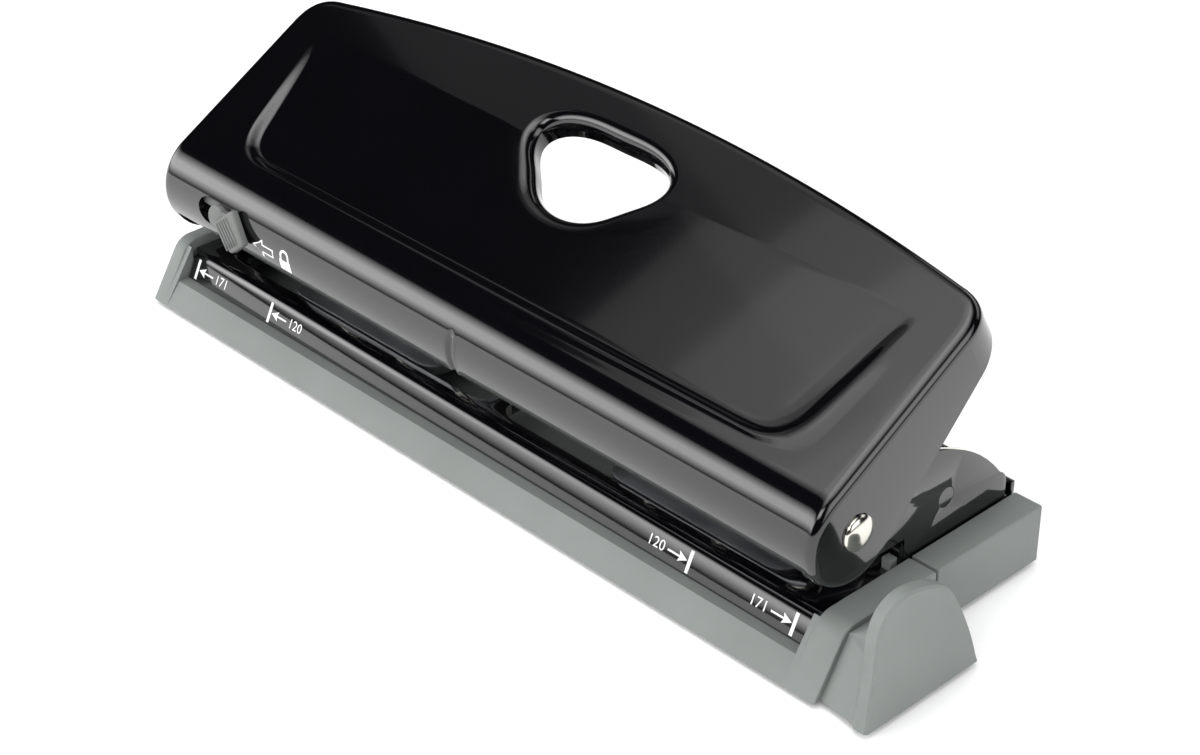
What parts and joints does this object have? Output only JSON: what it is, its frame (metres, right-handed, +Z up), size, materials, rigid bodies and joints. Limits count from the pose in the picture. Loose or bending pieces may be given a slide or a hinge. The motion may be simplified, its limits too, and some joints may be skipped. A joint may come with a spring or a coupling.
{
  "type": "desk hole punch",
  "caption": "Long desk punch for ring binders: pressed handle on two rivets, punches in two sliding units on a rod, lipped steel frame, chip tray base with a paper end stop.",
  "frame": {"origin": "middle of the overall box, at the bottom of the feet", "axes": "+X along the length towards the end stop's fin, +Y to the rear, +Z up"},
  "size_m": [0.2008, 0.0602, 0.0618],
  "materials": {
    "black_steel": "glossy black enamel on pressed steel",
    "grey_plastic": "fine moulded grain, satin",
    "nickel": "bright nickel plating",
    "zinc_steel": "zinc-plated steel",
    "spring_steel": "drawn spring wire",
    "dark_plastic": "moulded, satin",
    "rubber": "matt"
  },
  "bodies": {
    "base": {"chassis": "black_steel", "rear_base": "grey_plastic", "guide_rod": "zinc_steel", "pivot_rivet_left": "nickel", "pivot_rivet_right": "nickel", "foot_rear_left": "rubber", "foot_rear_right": "rubber", "tray_hinge_pin_left": "zinc_steel", "tray_hinge_pin_right": "zinc_steel"},
    "tray": {"chip_tray": "grey_plastic", "foot_front_left": "rubber", "foot_front_right": "rubber"},
    "handle": {"handle_shell": "black_steel", "press_bar": "zinc_steel"},
    "lock": {"lock_slider": "grey_plastic"},
    "unit_left": {"punch_frame_left": "zinc_steel", "die_plate_left": "black_steel", "slide_block_left": "dark_plastic", "post_left_1": "zinc_steel", "post_left_2": "zinc_steel", "return_spring_1": "spring_steel", "return_spring_2": "spring_steel", "return_spring_3": "spring_steel"},
    "unit_right": {"punch_frame_right": "zinc_steel", "die_plate_right": "black_steel", "slide_block_right": "dark_plastic", "post_right_1": "zinc_steel", "post_right_2": "zinc_steel", "return_spring_4": "spring_steel", "return_spring_5": "spring_steel", "return_spring_6": "spring_steel"},
    "pin_1": {"punch_pin_1": "zinc_steel", "pin_cap_1": "dark_plastic"},
    "pin_2": {"punch_pin_2": "zinc_steel", "pin_cap_2": "dark_plastic"},
    "pin_3": {"punch_pin_3": "zinc_steel", "pin_cap_3": "dark_plastic"},
    "pin_4": {"punch_pin_4": "zinc_steel", "pin_cap_4": "dark_plastic"},
    "pin_5": {"punch_pin_5": "zinc_steel", "pin_cap_5": "dark_plastic"},
    "pin_6": {"punch_pin_6": "zinc_steel", "pin_cap_6": "dark_plastic"}
  },
  "joints": [
    {"name": "handle_hinge", "type": "hinge", "parent": "base", "child": "handle", "pos_m": [-0.0071, -0.0157, 0.027], "axis": [1, 0, 0], "range_deg": [-30, 0], "stiffness_Nm_per_rad": 0.25, "springref_deg": 20.05},
    {"name": "tray_hinge", "type": "hinge", "parent": "base", "child": "tray", "pos_m": [-0.0071, 0.00095, 0.0034], "axis": [1, 0, 0], "range_deg": [0, 60]},
    {"name": "lock_slide", "type": "slide", "parent": "handle", "child": "lock", "axis": [-1, 0, 0], "range_m": [0, 0.0042]},
    {"name": "unit_left_slide", "type": "slide", "parent": "base", "child": "unit_left", "axis": [1, 0, 0], "range_m": [-0.01425, 0.00475]},
    {"name": "unit_right_slide", "type": "slide", "parent": "base", "child": "unit_right", "axis": [1, 0, 0], "range_m": [-0.019, 0]},
    {"name": "punch_slide_1", "type": "slide", "parent": "unit_left", "child": "pin_1", "axis": [0, 0, 1], "range_m": [-0.00602, 0], "deforming": ["return_spring_1"]},
    {"name": "punch_slide_2", "type": "slide", "parent": "unit_left", "child": "pin_2", "axis": [0, 0, 1], "range_m": [-0.00602, 0], "deforming": ["return_spring_2"]},
    {"name": "punch_slide_3", "type": "slide", "parent": "unit_left", "child": "pin_3", "axis": [0, 0, 1], "range_m": [-0.00602, 0], "deforming": ["return_spring_3"]},
    {"name": "punch_slide_4", "type": "slide", "parent": "unit_right", "child": "pin_4", "axis": [0, 0, 1], "range_m": [-0.00602, 0], "deforming": ["return_spring_4"]},
    {"name": "punch_slide_5", "type": "slide", "parent": "unit_right", "child": "pin_5", "axis": [0, 0, 1], "range_m": [-0.00602, 0], "deforming": ["return_spring_5"]},
    {"name": "punch_slide_6", "type": "slide", "parent": "unit_right", "child": "pin_6", "axis": [0, 0, 1], "range_m": [-0.00602, 0], "deforming": ["return_spring_6"]}
  ],
  "couplings": [
    {"joint": "punch_slide_1", "follows": "handle_hinge", "m_per_rad": 0.011495},
    {"joint": "punch_slide_2", "follows": "handle_hinge", "m_per_rad": 0.011495},
    {"joint": "punch_slide_3", "follows": "handle_hinge", "m_per_rad": 0.011495},
    {"joint": "punch_slide_4", "follows": "handle_hinge", "m_per_rad": 0.011495},
    {"joint": "punch_slide_5", "follows": "handle_hinge", "m_per_rad": 0.011495},
    {"joint": "punch_slide_6", "follows": "handle_hinge", "m_per_rad": 0.011495}
  ]
}
